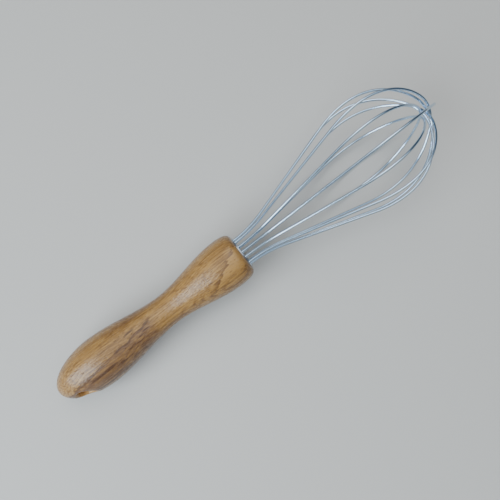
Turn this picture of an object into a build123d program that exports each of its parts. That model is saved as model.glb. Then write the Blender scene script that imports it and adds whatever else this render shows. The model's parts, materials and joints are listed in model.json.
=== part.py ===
from build123d import *
from math import atan, cos, degrees, hypot, radians, sin
import os

# Balloon whisk: a turned wooden handle with seven closed wire loops set into its mouth.
# Sizes are millimetres and angles are degrees. Along the tool, a "station" is the distance
# from the butt end. The whisk lies as it does on a table, its axis in the XZ plane and
# pitched tip up, resting on the butt and on two neighbouring wires.

# Handle
handle_length = 131.0
butt_station = 30.4
butt_radius = 14.6
waist_to_mouth = 53.0
waist_radius = 9.2
shoulder_to_mouth = 11.0
shoulder_wall = 5.05
nose_fullness = 8.8
nose_run = 15.0
front_edge_run = 8.5
front_edge_drop = 1.2

# Hanging hole, drilled straight through the butt; its angle is measured round the axis from upright
hanging_hole_station = 13.5
hanging_hole_angle = 104.0
hanging_hole_radius = 5.0
hanging_hole_rounding = 2.4

# Socket for the wires, closed by a drilled plate
socket_clearance = 0.65
socket_depth = 28.0
plate_thickness = 1.4
plate_stand_out = 0.6
spacer_thickness = 1.5
disc_fit = 0.05
wire_hole_clearance = 0.05
wire_end_gap = 0.2

# Wire loops
wire_diameter = 1.5
wire_ring_radius = 8.3
cage_reach = 135.75
cage_half_width = 31.4
crown_length = 37.5
tip_arc_angle = 26.7
leg_length = 60.0
flare_share = 0.55
loop_nesting_gap = 0.1
# From the outermost loop to the innermost: its slot round the ring, and how far the hand
# that set it left it off the even spacing
lay_order = (0, 2, 3, 5, 4, 1, 6)
hand_set = (0.0, 0.5, -2.0, -2.5, 2.5, -2.0, 3.0)

waist_station = handle_length - waist_to_mouth
shoulder_station = handle_length - shoulder_to_mouth
socket_floor = handle_length - socket_depth
spacer_front = socket_floor + spacer_thickness
plate_front = handle_length + plate_stand_out
plate_back = plate_front - plate_thickness

wire_radius = wire_diameter / 2
socket_radius = wire_ring_radius + wire_radius + socket_clearance
shoulder_radius = socket_radius + shoulder_wall
wire_end_station = socket_floor + wire_end_gap
slot_angle = 180.0 / len(lay_order)
nest_pitch = wire_diameter + loop_nesting_gap
outer_apex = handle_length + cage_reach - wire_radius

# Every loop has the same crown: a wide arc from the belly, then a tighter one over the tip.
tip_rise = sin(radians(tip_arc_angle))
tip_run = cos(radians(tip_arc_angle))
crown_radius = (crown_length * tip_rise - cage_half_width * (1 - tip_run)) / (tip_rise + tip_run - 1)
tip_radius = (cage_half_width * tip_run - crown_length * (1 - tip_rise)) / (tip_rise + tip_run - 1)


def belly_station(nest):
    """Where a loop is widest, counted from the outermost loop."""
    return outer_apex - nest * nest_pitch - crown_length


def straight_leg(nest):
    """Length of the straight run between a loop's flare and its belly."""
    return leg_length - nest * nest_pitch


def leg_angle(nest):
    """Angle between a loop's leg and the tool axis."""
    run = belly_station(nest) - plate_front + straight_leg(nest)
    return degrees(2 * atan((cage_half_width - wire_ring_radius) / run))


def bends_radius(nest):
    """Sum of the radii of a loop's flare and its belly."""
    lean = radians(leg_angle(nest))
    run = belly_station(nest) - plate_front - straight_leg(nest) * cos(lean)
    return run / sin(lean)


def loop_angle(nest, roll):
    """Angle of a loop's plane round the tool axis, from upright."""
    return roll + (lay_order[nest] - 0.5) * slot_angle + hand_set[nest]


def strand_depth(nest, roll, pitch):
    """How far a loop's belly reaches below the butt end's centre."""
    belly_radius = bends_radius(nest) * (1 - flare_share)
    down = cos(radians(loop_angle(nest, roll))) * cos(radians(pitch))
    back = sin(radians(pitch))
    centre_depth = (cage_half_width - belly_radius) * down - belly_station(nest) * back
    return centre_depth + belly_radius * hypot(down, back) + wire_radius


def handle_outline():
    """The turned outline from the centre of the butt end to the rim of the mouth."""
    butt_handle = (waist_station - butt_station) / 3
    shoulder_handle = (shoulder_station - waist_station) / 3
    rim_radius = shoulder_radius - front_edge_drop
    Bezier(
        (0, 0),
        (0, nose_fullness),
        (butt_station - nose_run, butt_radius),
        (butt_station, butt_radius),
    )
    Bezier(
        (butt_station, butt_radius),
        (butt_station + butt_handle, butt_radius),
        (waist_station - butt_handle, waist_radius),
        (waist_station, waist_radius),
    )
    Bezier(
        (waist_station, waist_radius),
        (waist_station + shoulder_handle, waist_radius),
        (shoulder_station - shoulder_handle, shoulder_radius),
        (shoulder_station, shoulder_radius),
    )
    Bezier(
        (shoulder_station, shoulder_radius),
        (shoulder_station + front_edge_run, shoulder_radius),
        (handle_length, rim_radius),
        (handle_length, socket_radius),
    )


outline_steps = 2000
with BuildLine() as turned_outline:
    handle_outline()
outline_points = [turned_outline.line @ (step / outline_steps) for step in range(outline_steps + 1)]


def handle_depth(pitch):
    """How far the handle reaches below the butt end's centre."""
    down = cos(radians(pitch))
    back = sin(radians(pitch))
    return max(point.Y * down - point.X * back for point in outline_points)


# Rest pose: the butt and the loops in the two lowest slots touch the table together.
# Each step turns the tool by the angle that would close the gaps that are left.
low_nests = (lay_order.index(0), lay_order.index(1))
strand_base = 2 * cage_half_width * sin(radians(slot_angle / 2))
table_base = belly_station(0) - butt_station
settling_steps = 60
pitch = 0.0
roll = 0.0
for _ in range(settling_steps):
    left_depth, right_depth = [strand_depth(nest, roll, pitch) for nest in low_nests]
    roll -= degrees((left_depth - right_depth) / strand_base) / 2
    pitch += degrees((left_depth + right_depth) / 2 - handle_depth(pitch)) / table_base

along = (cos(radians(pitch)), 0, sin(radians(pitch)))
upright = (-sin(radians(pitch)), 0, cos(radians(pitch)))
tip_lean = along[2] * cos(radians(loop_angle(0, roll)))
tip_reach = (outer_apex - tip_radius) * along[0] + tip_radius * hypot(along[0], tip_lean) + wire_radius
butt_reach = max(point.Y * along[2] - point.X * along[0] for point in outline_points)
butt_centre = Vector((butt_reach - tip_reach) / 2, 0, handle_depth(pitch))
tool = Plane(origin=butt_centre, x_dir=along, z_dir=upright)
tool_axis = Axis(tool.origin, tool.x_dir)


def radial_plane(angle):
    """Plane through the tool axis: its x runs along the tool and its y points outwards at this angle."""
    outwards = tool.z_dir * cos(radians(angle)) + tool.y_dir * sin(radians(angle))
    return Plane(origin=tool.origin, x_dir=tool.x_dir, z_dir=tool.x_dir.cross(outwards))


def cross_plane(station):
    """Plane square to the tool axis at this station, facing the tip, its x pointing upwards."""
    return Plane(origin=tool.from_local_coords((station, 0, 0)), x_dir=tool.z_dir, z_dir=tool.x_dir)


def wire_holes(radius):
    """Two holes for each loop, on the ring that the loops share."""
    for nest in range(len(lay_order)):
        with PolarLocations(wire_ring_radius, 2, start_angle=-loop_angle(nest, roll)):
            Circle(radius, mode=Mode.SUBTRACT)


os.makedirs("parts", exist_ok=True)

with BuildPart() as handle:
    with BuildSketch(radial_plane(0)):
        with BuildLine():
            handle_outline()
            Line((handle_length, socket_radius), (handle_length, 0))
            Line((handle_length, 0), (0, 0))
        make_face()
    revolve(axis=tool_axis)
    with BuildSketch(cross_plane(handle_length)):
        Circle(socket_radius)
    extrude(amount=-socket_depth, mode=Mode.SUBTRACT)
    hole_centre = tool.from_local_coords((hanging_hole_station, 0, 0))
    hole_line = radial_plane(hanging_hole_angle).y_dir
    with BuildSketch(Plane(origin=hole_centre, x_dir=tool.x_dir, z_dir=hole_line)):
        Circle(hanging_hole_radius)
    extrude(amount=2 * butt_radius, both=True, mode=Mode.SUBTRACT)
    mouths = handle.edges(Select.LAST).filter_by(GeomType.LINE, reverse=True)
    fillet(mouths, radius=hanging_hole_rounding)
handle.part.label = "handle"
export_step(handle.part, "parts/handle.step")

with BuildPart() as spacer_disc:
    with BuildSketch(cross_plane(socket_floor)):
        Circle(socket_radius - disc_fit)
        wire_holes(wire_radius + wire_hole_clearance)
    extrude(amount=spacer_thickness)
spacer_disc.part.label = "spacer_disc"
export_step(spacer_disc.part, "parts/spacer_disc.step")

with BuildPart() as potting_resin:
    with BuildSketch(cross_plane(spacer_front)):
        Circle(socket_radius)
        wire_holes(wire_radius)
    extrude(amount=plate_back - spacer_front)
potting_resin.part.label = "potting_resin"
export_step(potting_resin.part, "parts/potting_resin.step")

with BuildPart() as mouth_plate:
    with BuildSketch(cross_plane(plate_back)):
        Circle(socket_radius - disc_fit)
        wire_holes(wire_radius + wire_hole_clearance)
    extrude(amount=plate_thickness)
mouth_plate.part.label = "mouth_plate"
export_step(mouth_plate.part, "parts/mouth_plate.step")

for nest in range(len(lay_order)):
    angle = loop_angle(nest, roll)
    flare_radius = bends_radius(nest) * flare_share
    belly_radius = bends_radius(nest) * (1 - flare_share)
    with BuildPart() as wire_loop:
        with BuildLine(radial_plane(angle)) as path:
            stem = Line((wire_end_station, wire_ring_radius), (plate_front, wire_ring_radius))
            flare = JernArc(stem @ 1, stem % 1, flare_radius, leg_angle(nest))
            leg = PolarLine(flare @ 1, straight_leg(nest), direction=flare % 1)
            belly = JernArc(leg @ 1, leg % 1, belly_radius, -leg_angle(nest))
            crown = JernArc(belly @ 1, belly % 1, crown_radius, tip_arc_angle - 90)
            JernArc(crown @ 1, crown % 1, tip_radius, -tip_arc_angle)
            mirror(about=radial_plane(angle + 90))
        with BuildSketch(cross_plane(wire_end_station)):
            with PolarLocations(wire_ring_radius, 1, start_angle=-angle):
                Circle(wire_radius)
        sweep(path=path.wires()[0])
    wire_loop.part.label = f"wire_loop_{nest + 1}"
    export_step(wire_loop.part, f"parts/wire_loop_{nest + 1}.step")
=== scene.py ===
"""A balloon whisk with a turned olive-wood handle and seven steel wire loops, lying on a pale table."""
import json
from math import atan, cos, pi, radians, sin, tan

import bpy
from mathutils import Matrix, Vector


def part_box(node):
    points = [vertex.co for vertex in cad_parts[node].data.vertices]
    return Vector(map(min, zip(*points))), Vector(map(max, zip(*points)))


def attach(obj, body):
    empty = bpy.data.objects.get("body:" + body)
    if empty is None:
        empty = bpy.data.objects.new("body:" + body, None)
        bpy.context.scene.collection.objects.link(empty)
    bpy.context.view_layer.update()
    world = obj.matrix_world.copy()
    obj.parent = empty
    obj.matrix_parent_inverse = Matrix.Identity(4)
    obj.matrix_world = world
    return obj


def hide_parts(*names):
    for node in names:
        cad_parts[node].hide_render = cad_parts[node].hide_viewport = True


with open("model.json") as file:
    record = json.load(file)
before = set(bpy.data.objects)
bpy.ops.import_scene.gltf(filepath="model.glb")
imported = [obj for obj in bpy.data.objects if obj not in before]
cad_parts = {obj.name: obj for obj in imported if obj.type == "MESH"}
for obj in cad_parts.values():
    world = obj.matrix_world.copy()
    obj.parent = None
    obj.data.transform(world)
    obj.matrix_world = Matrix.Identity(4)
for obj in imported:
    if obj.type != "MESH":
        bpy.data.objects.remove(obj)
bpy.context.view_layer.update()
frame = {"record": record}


# Handle. One length of streaked olive wood, turned between centres to a full butt, a slim waist
# and a shoulder, then cross-drilled at the butt and bored at the mouth for the wires. It is
# sanded along the grain and varnished to a satin shine.

handle_length = 0.131
butt_station = 0.0304
butt_radius = 0.0146
waist_station = 0.078
waist_radius = 0.0092
shoulder_station = 0.12
shoulder_radius = 0.01475
nose_fullness = 0.0088
nose_run = 0.015
front_edge_run = 0.0085
front_edge_drop = 0.0012
socket_radius = 0.0097
socket_depth = 0.028
hanging_hole_station = 0.0135
hanging_hole_radius = 0.005
hanging_hole_rounding = 0.0024
socket_floor = handle_length - socket_depth
millimetre = 0.001

# How finely the handle is made: points along each span of its outline, cuts round it, faces
# round the drill, and how close two corners are when they count as one
outline_fineness = 60
cuts_round = 181
drill_sides = 96
weld = 1e-6

# The wood's colours, from pale to dark
# painted light: the paler colour of the drilled wall stands in for the light on the hole's lower lip
painted_lit_bore = (0.5, 0.27, 0.085, 1)
pale_gold = (0.37, 0.205, 0.063, 1)
honey = (0.36, 0.2, 0.06, 1)
caramel = (0.265, 0.14, 0.042, 1)
heartwood_brown = (0.15, 0.08, 0.042, 1)
streak_brown = (0.13, 0.06, 0.018, 1)
band_brown = (0.13, 0.06, 0.022, 1)
growth_brown = (0.12, 0.052, 0.018, 1)
mouth_ring_brown = (0.12, 0.052, 0.02, 1)
brim_brown = (0.1, 0.045, 0.018, 1)
pore_brown = (0.08, 0.036, 0.014, 1)
vein_brown = (0.075, 0.033, 0.016, 1)
deep_brown = (0.07, 0.031, 0.015, 1)
fleck_brown = (0.06, 0.028, 0.014, 1)

# Directions in the wood, by their shares along, across and above the tool's axis: out of the
# flank with the hole's raised mouth, through the growth rings, and square to the edges of the
# flame and of the heartwood
to_flank = (0, -0.988, -0.154)
through_rings = (0.012, -0.75, 0.66)
across_flame = (0.517, -0.847, -0.132)
across_heart = (0.12, -0.988, -0.154)
varnish_relief = 0.00014

# The tool's axis runs from the hanging hole to the middle of the plate in the mouth.
plate_low, plate_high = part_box("mouth_plate")
hole_centre = Vector(frame["record"]["mounts"][0]["pos_m"])
hole_line = Vector(frame["record"]["mounts"][0]["axis"])
along = ((plate_low + plate_high) / 2 - hole_centre).normalized()
across = Vector((0, 1, 0))
upright = along.cross(across)
butt_end = hole_centre - hanging_hole_station * along
tool = Matrix((along, across, upright)).transposed().to_4x4()
tool.translation = butt_end
drilled_across = Matrix((along, hole_line, along.cross(hole_line))).transposed().to_4x4()
drilled_across.translation = butt_end


def put(tree, kind, inputs=None, **settings):
    """Adds a node, sets its settings, and gives each listed input a value or a link."""
    node = tree.nodes.new(kind)
    for name, value in settings.items():
        setattr(node, name, value)
    for name, value in (inputs or {}).items():
        if isinstance(value, bpy.types.NodeSocket):
            tree.links.new(value, node.inputs[name])
        else:
            node.inputs[name].default_value = value
    return node


def calculate(tree, operation, *values):
    """One step of arithmetic, in a shader or a geometry tree."""
    return put(tree, "ShaderNodeMath", dict(enumerate(values)), operation=operation).outputs[0]


def product(tree, first, *others):
    """Several values multiplied together."""
    for other in others:
        first = calculate(tree, "MULTIPLY", first, other)
    return first


def diagonal(tree, one, other):
    """Length of the diagonal across two sides that are square to each other."""
    squares = calculate(tree, "ADD", product(tree, one, one), product(tree, other, other))
    return calculate(tree, "SQRT", squares)


def new_material(name):
    """An empty material and its tree."""
    material = bpy.data.materials.new(name)
    material.use_nodes = True
    material.node_tree.nodes.clear()
    return material, material.node_tree


def finish_material(tree, surface_inputs):
    """Ends a material's tree with a surface shader that has these inputs."""
    surface = put(tree, "ShaderNodeBsdfPrincipled", surface_inputs)
    put(tree, "ShaderNodeOutputMaterial", {"Surface": surface.outputs[0]})


def new_shaper(name, sockets):
    """A geometry tree with these named inputs, with its input node and its output node."""
    tree = bpy.data.node_groups.new(name, "GeometryNodeTree")
    tree.interface.new_socket("Geometry", in_out="INPUT", socket_type="NodeSocketGeometry")
    tree.interface.new_socket("Geometry", in_out="OUTPUT", socket_type="NodeSocketGeometry")
    for label, kind in sockets.items():
        tree.interface.new_socket(label, in_out="INPUT", socket_type=kind)
    return tree, tree.nodes.new("NodeGroupInput"), tree.nodes.new("NodeGroupOutput")


def finish_shaper(tree, geometry, material, made):
    """Ends a geometry tree with real faces in one material."""
    real = put(tree, "GeometryNodeRealizeInstances", {"Geometry": geometry})
    finished = put(tree, "GeometryNodeSetMaterial", {"Geometry": real.outputs[0], "Material": material})
    tree.links.new(finished.outputs[0], made.inputs[0])


def shape(name, source, tree, values, place):
    """Runs a geometry tree on an object and keeps the result as a plain mesh, moved to its place."""
    modifier = source.modifiers.new(tree.name, "NODES")
    modifier.node_group = tree
    for item in tree.interface.items_tree:
        if item.in_out == "INPUT" and item.name in values:
            modifier[item.identifier] = values[item.name]
    graph = bpy.context.evaluated_depsgraph_get()
    mesh = bpy.data.meshes.new_from_object(source.evaluated_get(graph), depsgraph=graph)
    source.modifiers.remove(modifier)
    bpy.data.objects.remove(source)
    mesh.transform(place)
    mesh.name = name
    piece = bpy.data.objects.new(name, mesh)
    bpy.context.scene.collection.objects.link(piece)
    return piece


def drawn_line(name, knots, fineness):
    """A Bezier line in the tool's own plane. Each knot is (point, handle before, handle after)."""
    curve = bpy.data.curves.new(name, "CURVE")
    curve.dimensions = "3D"
    spline = curve.splines.new("BEZIER")
    spline.bezier_points.add(len(knots) - 1)
    spline.resolution_u = fineness
    for knot, (point, before, after) in zip(spline.bezier_points, knots):
        knot.handle_left_type = knot.handle_right_type = "FREE"
        knot.co = (*point, 0)
        knot.handle_left = (*before, 0)
        knot.handle_right = (*after, 0)
    drawn = bpy.data.objects.new(name, curve)
    bpy.context.scene.collection.objects.link(drawn)
    return drawn


def turned_outline():
    """The half outline of the handle, from the butt end round to the bottom of the socket."""
    butt_pull = (waist_station - butt_station) / 3
    shoulder_pull = (shoulder_station - waist_station) / 3
    rim_radius = shoulder_radius - front_edge_drop
    rim = (handle_length, socket_radius)
    floor_edge = (socket_floor, socket_radius)
    floor_middle = (socket_floor, 0)
    return drawn_line("handle_outline", [
        ((0, 0), (0, 0), (0, nose_fullness)),
        ((butt_station, butt_radius), (butt_station - nose_run, butt_radius),
         (butt_station + butt_pull, butt_radius)),
        ((waist_station, waist_radius), (waist_station - butt_pull, waist_radius),
         (waist_station + shoulder_pull, waist_radius)),
        ((shoulder_station, shoulder_radius), (shoulder_station - shoulder_pull, shoulder_radius),
         (shoulder_station + front_edge_run, shoulder_radius)),
        (rim, (handle_length, rim_radius), rim),
        (floor_edge, floor_edge, floor_edge),
        (floor_middle, floor_middle, floor_middle),
    ], outline_fineness)


def turning_tree():
    """Turns an outline round the tool's axis, eases the hole's two mouths and drills the hole."""
    tree, given, made = new_shaper("Turn and drill", {
        "Cuts Round": "NodeSocketInt", "Hole Station": "NodeSocketFloat",
        "Hole Radius": "NodeSocketFloat", "Hole Rounding": "NodeSocketFloat",
        "Wood": "NodeSocketMaterial"})
    columns = given.outputs["Cuts Round"]
    hole_station = given.outputs["Hole Station"]
    hole_radius = given.outputs["Hole Radius"]
    hole_rounding = given.outputs["Hole Rounding"]

    # A flat grid, a row for each point of the outline, is wrapped round the axis.
    outline = put(tree, "GeometryNodeResampleCurve", {"Curve": given.outputs["Geometry"]}, mode="EVALUATED")
    count = put(tree, "GeometryNodeAttributeDomainSize", {0: outline.outputs[0]}, component="CURVE")
    grid = put(tree, "GeometryNodeMeshGrid", {
        "Size X": 1.0, "Size Y": 1.0, "Vertices X": count.outputs["Point Count"], "Vertices Y": columns})
    index = put(tree, "GeometryNodeInputIndex").outputs[0]
    row = calculate(tree, "FLOOR", calculate(tree, "DIVIDE", index, columns))
    column = calculate(tree, "MODULO", index, columns)
    share = calculate(tree, "DIVIDE", column, calculate(tree, "SUBTRACT", columns, 1.0))
    turn = product(tree, share, 2 * pi)
    position = put(tree, "GeometryNodeInputPosition").outputs[0]
    point = put(tree, "GeometryNodeSampleIndex", {
        "Geometry": outline.outputs[0], "Value": position, "Index": row},
        data_type="FLOAT_VECTOR", domain="POINT")
    half = put(tree, "ShaderNodeSeparateXYZ", {0: point.outputs[0]})
    side = product(tree, half.outputs["Y"], calculate(tree, "SINE", turn))
    height = product(tree, half.outputs["Y"], calculate(tree, "COSINE", turn))

    # Near the hole the surface rolls over a quarter round into the bore.
    beside = calculate(tree, "SUBTRACT", half.outputs["X"], hole_station)
    edge = calculate(tree, "ADD", hole_radius, hole_rounding)
    inside = calculate(tree, "SUBTRACT", edge, diagonal(tree, beside, height))
    inside = calculate(tree, "MINIMUM", calculate(tree, "MAXIMUM", inside, 0.0), hole_rounding)
    left = calculate(tree, "SUBTRACT", product(tree, hole_rounding, hole_rounding),
                     product(tree, inside, inside))
    drop = calculate(tree, "SUBTRACT", hole_rounding, calculate(tree, "SQRT", left))
    eased = calculate(tree, "SUBTRACT", side, product(tree, drop, calculate(tree, "SIGN", side)))

    place = put(tree, "ShaderNodeCombineXYZ", {"X": half.outputs["X"], "Y": eased, "Z": height})
    turned = put(tree, "GeometryNodeSetPosition", {
        "Geometry": grid.outputs["Mesh"], "Position": place.outputs[0]})
    closed = put(tree, "GeometryNodeMergeByDistance", {"Geometry": turned.outputs[0], "Distance": weld})
    drill = put(tree, "GeometryNodeMeshCylinder", {
        "Vertices": drill_sides, "Radius": hole_radius, "Depth": 4 * butt_radius})
    centre = put(tree, "ShaderNodeCombineXYZ", {"X": hole_station})
    laid = put(tree, "GeometryNodeTransform", {
        "Geometry": drill.outputs["Mesh"], "Rotation": (pi / 2, 0, 0), "Translation": centre.outputs[0]})
    drilled = put(tree, "GeometryNodeMeshBoolean", {"Mesh 1": closed.outputs[0], "Mesh 2": laid.outputs[0]},
                  operation="DIFFERENCE", solver="EXACT")
    smooth = put(tree, "GeometryNodeSetShadeSmooth", {"Geometry": drilled.outputs[0]})
    finish_shaper(tree, smooth.outputs[0], given.outputs["Wood"], made)
    return tree


def fibres(tree, grain, waves, detail, roughness=0.5):
    """Noise with its own number of waves per millimetre along, across and above the tool's axis."""
    stretched = put(tree, "ShaderNodeMapping", {"Vector": grain, "Scale": waves})
    noise = put(tree, "ShaderNodeTexNoise", {
        "Vector": stretched.outputs[0], "Scale": 1.0, "Detail": detail, "Roughness": roughness})
    return noise.outputs[0]


def ease(tree, value, start, end, low=0.0, high=1.0):
    """Turns smoothly from low to high as the value goes from start to end."""
    slope = put(tree, "ShaderNodeMapRange", {
        "Value": value, "From Min": start, "From Max": end, "To Min": low, "To Max": high},
        interpolation_type="SMOOTHSTEP")
    return slope.outputs[0]


def between(tree, value, start, full, fading, end):
    """Rises from 0 at start to 1 at full, and falls from 1 at fading back to 0 at end."""
    return product(tree, ease(tree, value, start, full), ease(tree, value, end, fading))


def blend(tree, value, *stops):
    """Goes through colours as a value rises. Each stop is the value and its colour."""
    ramp = put(tree, "ShaderNodeValToRGB", {0: value})
    elements = ramp.color_ramp.elements
    elements[0].position, elements[0].color = stops[0]
    elements[1].position, elements[1].color = stops[-1]
    for position, colour in stops[1:-1]:
        elements.new(position).color = colour
    return ramp.outputs[0]


def towards(tree, grain, direction):
    """How far a point lies from the tool's axis in a direction, in millimetres."""
    reach = put(tree, "ShaderNodeVectorMath", {0: grain, 1: direction}, operation="DOT_PRODUCT")
    return reach.outputs["Value"]


def stain(tree, colour, tint, share):
    """Lays a tint over a colour, as strongly as the share between 0 and 1."""
    return put(tree, "ShaderNodeMix", {0: share, 6: colour, 7: tint}, data_type="RGBA").outputs[2]


def olive_wood():
    """Honey-coloured wood with brown figure, in millimetres along, across and above the tool's axis."""
    material, tree = new_material("olive_wood")
    place = put(tree, "ShaderNodeTexCoord").outputs["Object"]
    grain = put(tree, "ShaderNodeMapping", {
        "Vector": place, "Location": butt_end, "Rotation": tool.to_euler(), "Scale": [millimetre] * 3},
        vector_type="TEXTURE").outputs[0]
    station = put(tree, "ShaderNodeSeparateXYZ", {0: grain}).outputs["X"]
    side = towards(tree, grain, to_flank)
    top = ease(tree, towards(tree, grain, (0, 0, 1)), 4.0, 8.0)

    # Ground colour: fine streaks over slow changes from honey to brown.
    streaks = fibres(tree, grain, (0.02, 1.3, 1.3), 6.0, 0.66)
    colour = blend(tree, streaks, (0.36, streak_brown), (0.48, caramel), (0.62, honey))
    slow = fibres(tree, grain, (0.012, 0.16, 0.16), 3.0)
    colour = stain(tree, colour, band_brown, ease(tree, slow, 0.48, 0.72, 0.0, 0.7))

    # Growth rings, cut almost along the grain, so that they show as fine lines.
    ring_pitch = 1.15
    sway = fibres(tree, grain, (0.03, 0.1, 0.1), 2.0)
    depth = calculate(tree, "MULTIPLY_ADD", sway, 3.0, towards(tree, grain, through_rings))
    ring = calculate(tree, "FRACT", calculate(tree, "DIVIDE", depth, ring_pitch))
    line = between(tree, ring, 0.55, 0.9, 0.92, 0.999)
    colour = stain(tree, colour, growth_brown, product(tree, line, ease(tree, slow, 0.35, 0.6, 0.2, 0.6)))

    # A pale flame on top of the shoulder, widening to the mouth, with a dark ragged edge.
    ragged = calculate(tree, "MULTIPLY_ADD", fibres(tree, grain, (0.09, 0.8, 0.8), 3.0), 7.0, -3.5)
    flame = calculate(tree, "ADD", towards(tree, grain, across_flame), ragged)
    spread = product(tree, ease(tree, flame, 62.7, 63.5), ease(tree, side, 7.5, 5.0), top)
    colour = stain(tree, colour, pale_gold, product(tree, spread, 0.75))
    brim = product(tree, between(tree, flame, 60.6, 62.6, 62.8, 63.3), top, ease(tree, side, -6.5, -3.0))
    colour = stain(tree, colour, brim_brown, product(tree, brim, 0.75))

    # Brown heartwood down one flank of the butt half, crossed by dark streaks and edged by a vein.
    wander = calculate(tree, "MULTIPLY_ADD", fibres(tree, grain, (0.05, 0.5, 0.5), 3.0), 5.0, -2.5)
    flank = calculate(tree, "ADD", towards(tree, grain, across_heart), wander)
    behind_waist = ease(tree, station, 74.0, 64.0)
    lip = ease(tree, calculate(tree, "MULTIPLY_ADD", station, -0.3, side), 7.6, 5.4)
    inside = product(tree, behind_waist, lip)
    deep = fibres(tree, grain, (0.02, 0.9, 0.9), 4.0, 0.6)
    heart = product(tree, ease(tree, flank, 6.4, 7.2), inside, ease(tree, deep, 0.42, 0.5, 0.35, 0.85))
    colour = stain(tree, colour, heartwood_brown, heart)
    dark = product(tree, ease(tree, deep, 0.52, 0.6), ease(tree, flank, 5.0, 8.0), inside)
    colour = stain(tree, colour, deep_brown, product(tree, dark, 0.85))
    vein = product(tree, between(tree, flank, 6.0, 6.6, 6.9, 7.6), inside)
    colour = stain(tree, colour, vein_brown, product(tree, vein, 0.85))

    # Two dark flecks on top, between the butt and the waist: their station, side and length.
    fleck_width = 0.55
    for fleck_station, fleck_side, fleck_length in ((55.5, -3.0, 3.2), (66.0, -1.7, 2.4)):
        ahead = calculate(tree, "DIVIDE", calculate(tree, "SUBTRACT", station, fleck_station), fleck_length)
        aside = calculate(tree, "DIVIDE", calculate(tree, "SUBTRACT", side, fleck_side), fleck_width)
        spot = calculate(tree, "ADD", product(tree, ahead, ahead), product(tree, aside, aside))
        fleck = product(tree, ease(tree, spot, 1.6, 0.5, 0.0, 0.8), top)
        colour = stain(tree, colour, fleck_brown, fleck)

    # The drilled wall is painted paler than the outside: painted light, standing in for the light that
    # falls on the hole's lower lip. A darker ring runs round its mouths.
    square_to_bore = along.cross(hole_line)
    level = towards(tree, grain, (0, square_to_bore.dot(across), square_to_bore.dot(upright)))
    beside = calculate(tree, "SUBTRACT", station, hanging_hole_station / millimetre)
    from_bore = diagonal(tree, level, beside)
    # Painted light: the whole bore and its rounded mouths are painted paler, standing in for light on the
    # hole's lower lip
    colour = stain(tree, colour, painted_lit_bore, ease(tree, from_bore, 6.6, 5.2, 0.0, 0.85))
    # A darker ring round the hole's mouths, on and just beyond their rounding
    mouth_ring = between(tree, from_bore, 6.0, 6.8, 7.0, 8.4)
    colour = stain(tree, colour, mouth_ring_brown, product(tree, mouth_ring, 0.35))

    # Pores: short dark dashes. They dent the varnish, which also ripples a little with the grain.
    pores = ease(tree, fibres(tree, grain, (0.2, 2.4, 2.4), 1.0), 0.66, 0.73)
    colour = stain(tree, colour, pore_brown, product(tree, pores, 0.7))
    ripple = fibres(tree, grain, (0.6, 1.1, 1.1), 2.0)
    relief = calculate(tree, "SUBTRACT", ripple, product(tree, pores, 0.5))
    dents = put(tree, "ShaderNodeBump", {"Height": relief, "Strength": 1.0, "Distance": varnish_relief})
    finish_material(tree, {
        "Base Color": colour, "Roughness": ease(tree, streaks, 0.3, 0.7, 0.55, 0.42),
        "Normal": dents.outputs[0], "Specular IOR Level": 0.2, "Coat Weight": 0.75, "Coat IOR": 1.42,
        "Coat Roughness": ease(tree, ripple, 0.4, 0.6, 0.14, 0.3), "Coat Normal": dents.outputs[0]})
    return material


handle = shape("turned_handle", turned_outline(), turning_tree(), {
    "Cuts Round": cuts_round, "Hole Station": hanging_hole_station, "Hole Radius": hanging_hole_radius,
    "Hole Rounding": hanging_hole_rounding, "Wood": olive_wood()}, drilled_across)
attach(handle, "root")
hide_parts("handle")


# Wire loops. Seven hairpins of hard-drawn stainless wire, bent to one pear shape and nested one
# inside the next where they cross at the tip. Their straight ends stand in the socket's resin.

# The wire is 1.5 mm; its faces stay a hundredth of a millimetre inside that.
wire_radius = 0.00074
wire_ring_radius = 0.0083
# From the handle's mouth to the middle of the outermost wire at the tip
cage_reach = 0.135
nest_pitch = 0.0016
cage_half_width = 0.0314
crown_length = 0.0375
tip_arc_angle = radians(26.7)
leg_length = 0.06
flare_share = 0.55
plate_stand_out = 0.0006
wire_end_gap = 0.0002

# How finely a wire is made: points along each bend, faces round it and the length of its steps
bend_fineness = 24
wire_sides = 20
wire_step = 0.0012
# To the scratches a metre of wire is only this many times its radius, so they are long and fine.
scratch_run = 5.0

# Each loop, from the outermost to the innermost: its slot round the ring, and how many degrees
# the hand that set it left it off the even spacing. As the whisk lies, it is rolled a little
# round its axis, until two wires touch the table.
lay_order = (0, 2, 3, 5, 4, 1, 6)
hand_set = (0.0, 0.5, -2.0, -2.5, 2.5, -2.0, 3.0)
cage_roll = 4.0078
slot_angle = 180 / len(lay_order)
loop_angles = [cage_roll + (slot - 0.5) * slot_angle + off for slot, off in zip(lay_order, hand_set)]

wire_end_station = socket_floor + wire_end_gap
plate_front = handle_length + plate_stand_out
outer_apex = handle_length + cage_reach
tip_rise = sin(tip_arc_angle)
tip_run = cos(tip_arc_angle)
crown_radius = (crown_length * tip_rise - cage_half_width * (1 - tip_run)) / (tip_rise + tip_run - 1)
tip_radius = (cage_half_width * tip_run - crown_length * (1 - tip_rise)) / (tip_rise + tip_run - 1)


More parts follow.
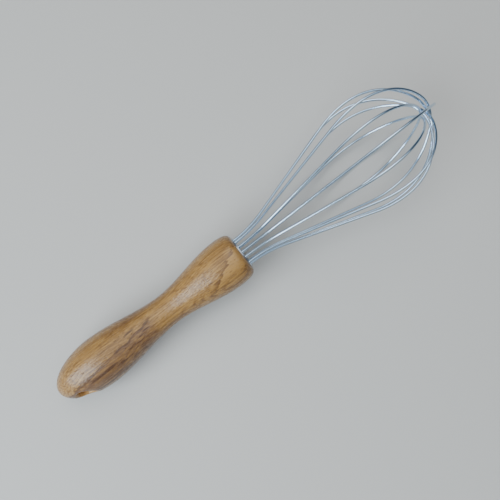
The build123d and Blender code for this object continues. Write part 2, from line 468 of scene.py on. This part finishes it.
def bent_loop(nest):
    """One loop's centre line: straight end, flare, leg, belly, crown and tip, and back again."""
    apex = outer_apex - nest * nest_pitch
    leg = leg_length - nest * nest_pitch
    run = apex - crown_length - plate_front
    leg_angle = 2 * atan((cage_half_width - wire_ring_radius) / (run + leg))
    bends = (run - leg * cos(leg_angle)) / sin(leg_angle)
    # Each bend is (radius, turn); a straight run has no turn and its length for a radius.
    path = [
        (plate_front - wire_end_station, 0),
        (bends * flare_share, leg_angle),
        (leg, 0),
        (bends * (1 - flare_share), -leg_angle),
        (crown_radius, tip_arc_angle - pi / 2),
        (tip_radius, -tip_arc_angle),
    ]
    path += path[::-1]
    at = Vector((wire_end_station, wire_ring_radius))
    heading = 0.0
    knots = [[at, at, at]]
    for size, turn in path:
        if turn:
            pull = 4 / 3 * tan(abs(turn) / 4) * size
            side = pi / 2 if turn > 0 else -pi / 2
            centre = at + size * Vector((cos(heading + side), sin(heading + side)))
            end = centre - size * Vector((cos(heading + turn + side), sin(heading + turn + side)))
        else:
            pull = size / 3
            end = at + size * Vector((cos(heading), sin(heading)))
        knots[-1][2] = at + pull * Vector((cos(heading), sin(heading)))
        heading += turn
        knots.append([end, end - pull * Vector((cos(heading), sin(heading))), end])
        at = end
    return drawn_line(f"loop_line_{nest + 1}", knots, bend_fineness)


def wire_tree():
    """Gives a line a wire's round section, with its ends closed."""
    tree, given, made = new_shaper("Draw wire", {
        "Wire Radius": "NodeSocketFloat", "Sides": "NodeSocketInt", "Step": "NodeSocketFloat",
        "Steel": "NodeSocketMaterial"})
    line = put(tree, "GeometryNodeResampleCurve", {
        "Curve": given.outputs["Geometry"], "Length": given.outputs["Step"]}, mode="LENGTH")
    run = put(tree, "GeometryNodeSplineParameter").outputs["Length"]
    marked = put(tree, "GeometryNodeStoreNamedAttribute", {
        "Geometry": line.outputs[0], "Name": "run", "Value": run},
        data_type="FLOAT", domain="POINT")
    section = put(tree, "GeometryNodeCurvePrimitiveCircle", {
        "Resolution": given.outputs["Sides"], "Radius": given.outputs["Wire Radius"]})
    facing = put(tree, "GeometryNodeSplineParameter").outputs["Factor"]
    ringed = put(tree, "GeometryNodeStoreNamedAttribute", {
        "Geometry": section.outputs[0], "Name": "facing", "Value": facing},
        data_type="FLOAT", domain="POINT")
    wire = put(tree, "GeometryNodeCurveToMesh", {
        "Curve": marked.outputs[0], "Profile Curve": ringed.outputs[0], "Fill Caps": True})
    smooth = put(tree, "GeometryNodeSetShadeSmooth", {"Geometry": wire.outputs[0]})
    finish_shaper(tree, smooth.outputs[0], given.outputs["Steel"], made)
    return tree


def drawn_steel():
    """Bright hard-drawn stainless, with the faint scratches of the drawing die along it."""
    material, tree = new_material("drawn_steel")
    run = put(tree, "ShaderNodeAttribute", attribute_name="run").outputs["Fac"]
    facing = put(tree, "ShaderNodeAttribute", attribute_name="facing").outputs["Fac"]
    turn = product(tree, facing, 2 * pi)
    place = put(tree, "ShaderNodeCombineXYZ", {
        "X": product(tree, run, scratch_run), "Y": calculate(tree, "COSINE", turn),
        "Z": calculate(tree, "SINE", turn)})
    scratches = put(tree, "ShaderNodeTexNoise", {"Vector": place.outputs[0], "Scale": 2.5, "Detail": 2.0})
    finish_material(tree, {
        "Metallic": 1.0, "Base Color": (0.54, 0.68, 0.83, 1),
        "Roughness": ease(tree, scratches.outputs[0], 0.3, 0.7, 0.14, 0.19)})
    return material


draw_wire = wire_tree()
wire_steel = drawn_steel()
for nest, angle in enumerate(loop_angles):
    stand = Matrix.Rotation(radians(90 - angle), 4, "X")
    loop = shape(f"steel_loop_{nest + 1}", bent_loop(nest), draw_wire, {
        "Wire Radius": wire_radius, "Sides": wire_sides, "Step": wire_step,
        "Steel": wire_steel}, tool @ stand)
    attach(loop, "root")
    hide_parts(f"wire_loop_{nest + 1}")


# Mouth plate. A disc punched from stainless sheet with a hole for each wire end, pressed into the
# socket over the resin. Its edges are broken and its face has the dull skin of rolled sheet.

plate_thickness = 0.0014
spacer_thickness = 0.0015
disc_fit = 0.00005
disc_edge = 0.00012
wire_hole_clearance = 0.00005
disc_sides = 144
hole_sides = 32
plate_back = plate_front - plate_thickness
spacer_front = socket_floor + spacer_thickness
disc_radius = socket_radius - disc_fit


def pierced_tree():
    """A disc of any thickness with a hole at each given point, built on its back face."""
    tree, given, made = new_shaper("Pierced disc", {
        "Disc Radius": "NodeSocketFloat", "Hole Radius": "NodeSocketFloat", "Thickness": "NodeSocketFloat",
        "Material": "NodeSocketMaterial"})
    rim = put(tree, "GeometryNodeCurvePrimitiveCircle", {
        "Resolution": disc_sides, "Radius": given.outputs["Disc Radius"]})
    hole = put(tree, "GeometryNodeCurvePrimitiveCircle", {
        "Resolution": hole_sides, "Radius": given.outputs["Hole Radius"]})
    holes = put(tree, "GeometryNodeInstanceOnPoints", {
        "Points": given.outputs["Geometry"], "Instance": hole.outputs[0]})
    real = put(tree, "GeometryNodeRealizeInstances", {"Geometry": holes.outputs[0]})
    outline = put(tree, "GeometryNodeJoinGeometry", {0: rim.outputs[0]})
    tree.links.new(real.outputs[0], outline.inputs[0])
    face = put(tree, "GeometryNodeFillCurve", {"Curve": outline.outputs[0]}, mode="NGONS")
    back = put(tree, "GeometryNodeFlipFaces", {"Mesh": face.outputs[0]})
    raised = put(tree, "GeometryNodeExtrudeMesh", {
        "Mesh": face.outputs[0], "Offset Scale": given.outputs["Thickness"], "Individual": False},
        mode="FACES")
    both = put(tree, "GeometryNodeJoinGeometry", {0: raised.outputs[0]})
    tree.links.new(back.outputs[0], both.inputs[0])
    closed = put(tree, "GeometryNodeMergeByDistance", {"Geometry": both.outputs[0], "Distance": weld})
    finish_shaper(tree, closed.outputs[0], given.outputs["Material"], made)
    return tree


def pierced_disc(name, back, front, radius, hole_radius, material):
    """A disc square to the tool's axis, pierced where the wires pass, with its sharp edges broken."""
    points = bpy.data.meshes.new(name)
    turns = [radians(angle + half) for angle in loop_angles for half in (0, 180)]
    ring = [(wire_ring_radius * sin(turn), wire_ring_radius * cos(turn), 0) for turn in turns]
    points.from_pydata(ring, [], [])
    blank = bpy.data.objects.new(name, points)
    bpy.context.scene.collection.objects.link(blank)
    facing_tip = Matrix((across, upright, along)).transposed().to_4x4()
    facing_tip.translation = butt_end + back * along
    disc = shape(name, blank, pierce, {
        "Disc Radius": radius, "Hole Radius": hole_radius, "Thickness": front - back,
        "Material": material}, facing_tip)
    edges = disc.modifiers.new("broken_edges", "BEVEL")
    edges.width = disc_edge
    edges.segments = 2
    edges.limit_method = "ANGLE"
    edges.angle_limit = radians(50)
    edges.harden_normals = True
    return disc


def rolled_sheet():
    """Stainless sheet, dull from the rolls, with a faint mottle and fine scratches one way."""
    material, tree = new_material("rolled_sheet")
    place = put(tree, "ShaderNodeTexCoord").outputs["Object"]
    mottle = put(tree, "ShaderNodeTexNoise", {"Vector": place, "Scale": 900.0, "Detail": 4.0}).outputs[0]
    brushed = put(tree, "ShaderNodeMapping", {"Vector": place, "Scale": (4000.0, 150.0, 4000.0)})
    scratches = put(tree, "ShaderNodeTexNoise", {"Vector": brushed.outputs[0], "Scale": 1.0, "Detail": 2.0})
    dull = ease(tree, calculate(tree, "ADD", mottle, scratches.outputs[0]), 0.7, 1.3, 0.24, 0.42)
    colour = blend(tree, mottle, (0.3, (0.38, 0.43, 0.5, 1)), (0.7, (0.5, 0.55, 0.61, 1)))
    finish_material(tree, {"Metallic": 1.0, "Base Color": colour, "Roughness": dull})
    return material


pierce = pierced_tree()
sheet_steel = rolled_sheet()
plate = pierced_disc("drilled_mouth_plate", plate_back, plate_front, disc_radius,
                     wire_radius + wire_hole_clearance, sheet_steel)
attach(plate, "root")
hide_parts("mouth_plate")


# Potting resin. Cloudy amber epoxy poured round the wire ends between the spacer and the plate,
# which it holds by gripping both the wires and the bored wood.

resin_gap = 0.00002


def cast_resin():
    """Epoxy the colour of weak tea, a little cloudy."""
    material, tree = new_material("cast_resin")
    place = put(tree, "ShaderNodeTexCoord").outputs["Object"]
    cloud = put(tree, "ShaderNodeTexNoise", {"Vector": place, "Scale": 260.0, "Detail": 3.0}).outputs[0]
    colour = blend(tree, cloud, (0.35, (0.24, 0.17, 0.08, 1)), (0.65, (0.36, 0.29, 0.18, 1)))
    finish_material(tree, {"Base Color": colour, "Roughness": ease(tree, cloud, 0.3, 0.7, 0.16, 0.3)})
    return material


resin = pierced_disc("cast_potting_resin", spacer_front, plate_back, disc_radius, wire_radius + resin_gap,
                     cast_resin())
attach(resin, "root")
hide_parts("potting_resin")


# Spacer disc. The same punched sheet as the plate, dropped to the bottom of the socket first to
# hold the wire ends on their ring while the resin sets.

spacer = pierced_disc("punched_spacer_disc", socket_floor, spacer_front, disc_radius,
                      wire_radius + wire_hole_clearance, sheet_steel)
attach(spacer, "root")
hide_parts("spacer_disc")


# Table. A plain pale top, many times wider than the whisk that lies on it. It isn't part of the
# whisk.

top_half = 3.0
top_mesh = bpy.data.meshes.new("table_top")
corners = [(x * top_half, y * top_half, 0) for x, y in ((-1, -1), (1, -1), (1, 1), (-1, 1))]
top_mesh.from_pydata(corners, [], [(0, 1, 2, 3)])
table_top = bpy.data.objects.new("table_top", top_mesh)
bpy.context.scene.collection.objects.link(table_top)
pale_top, top_tree = new_material("pale_top")
finish_material(top_tree, {"Base Color": (0.46, 0.445, 0.42, 1), "Roughness": 0.7})
top_mesh.materials.append(pale_top)


# Light. Soft daylight: a window beyond the butt end, a faint fill from high beyond the cage and
# a broad sky overhead, in a pale room.

def window(name, place, aim, width, height, power, colour):
    """A soft rectangular light at a place, turned towards a point."""
    light = bpy.data.lights.new(name, "AREA")
    light.shape = "RECTANGLE"
    light.size = width
    light.size_y = height
    light.energy = power
    light.color = colour
    lamp = bpy.data.objects.new(name, light)
    lamp.location = place
    lamp.rotation_euler = (Vector(aim) - Vector(place)).to_track_quat("-Z", "Y").to_euler()
    bpy.context.scene.collection.objects.link(lamp)


window("window_light", place=(-0.95, -0.1, 0.8), aim=(0, 0, 0), width=1.1, height=0.85, power=28.0,
       colour=(0.8, 0.91, 1.0))
window("fill_light", place=(0.3, 0.5, 1.2), aim=(0.05, 0, 0), width=0.6, height=1.0, power=4.0,
       colour=(1.0, 0.97, 0.92))
window("sky_light", place=(0.3, 0.2, 2.0), aim=(0, 0, 0), width=3.2, height=2.6, power=33.0,
       colour=(0.93, 0.97, 1.0))

room = bpy.data.worlds.new("pale_room")
room.use_nodes = True
air = room.node_tree.nodes["Background"]
air.inputs["Color"].default_value = (0.6, 0.68, 0.78, 1)
air.inputs["Strength"].default_value = 0.17
bpy.context.scene.world = room


# Camera. It looks down from above the whisk's middle, almost in the plane of the outermost loop,
# which it sees as one straight wire. It is turned so that the whisk runs from the lower left to
# the upper right.

camera_station = 0.1411
camera_side = 0.0015
camera_height = 0.2702
sight_station = 0.1357
sight_side = 0.0018
picture_turn = -37.6

face = radians(loop_angles[0])
overhead = cos(face) * upright + sin(face) * across
sideways = cos(face) * across - sin(face) * upright
eye = butt_end + camera_station * along - camera_side * sideways + camera_height * overhead
sight = butt_end + sight_station * along - sight_side * sideways
back = (eye - sight).normalized()
level = cos(radians(picture_turn)) * along + sin(radians(picture_turn)) * sideways
level = (level - level.dot(back) * back).normalized()
camera = bpy.data.objects.new("camera", bpy.data.cameras.new("camera"))
camera.data.lens = 34.25
camera.data.sensor_width = 36.0
camera.data.clip_start = 0.01
camera.location = eye
camera.rotation_euler = Matrix((level, back.cross(level), back)).transposed().to_euler()
bpy.context.scene.collection.objects.link(camera)
bpy.context.scene.camera = camera
